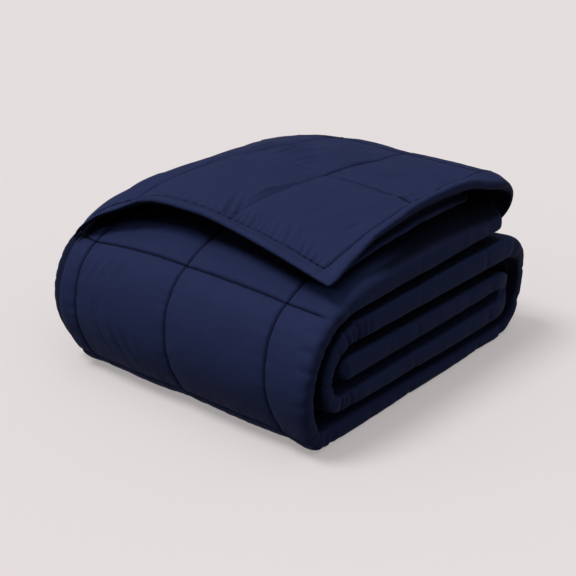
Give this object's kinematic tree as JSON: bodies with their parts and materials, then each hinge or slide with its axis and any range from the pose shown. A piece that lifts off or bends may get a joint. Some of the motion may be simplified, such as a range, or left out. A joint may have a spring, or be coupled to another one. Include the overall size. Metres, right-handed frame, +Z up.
{
  "type": "folded comforter",
  "caption": "Box-quilted comforter folded into a strip and rolled into a soft layered bundle, its hemmed end turned back over the top as a flap; lies flat on a bed or shelf.",
  "frame": {"origin": "on the surface that the bundle rests on, under the middle of its bounding box", "axes": "+X along the folds to the end where the layers show, +Y from the round front to the back, +Z up"},
  "size_m": [0.381, 0.4236, 0.2245],
  "materials": {
    "navy_cloth": "smooth brushed microfibre with a soft sheen, sewn through in boxes with thread of its own colour"
  },
  "bodies": {
    "root": {"comforter": "navy_cloth"}
  },
  "joints": []
}
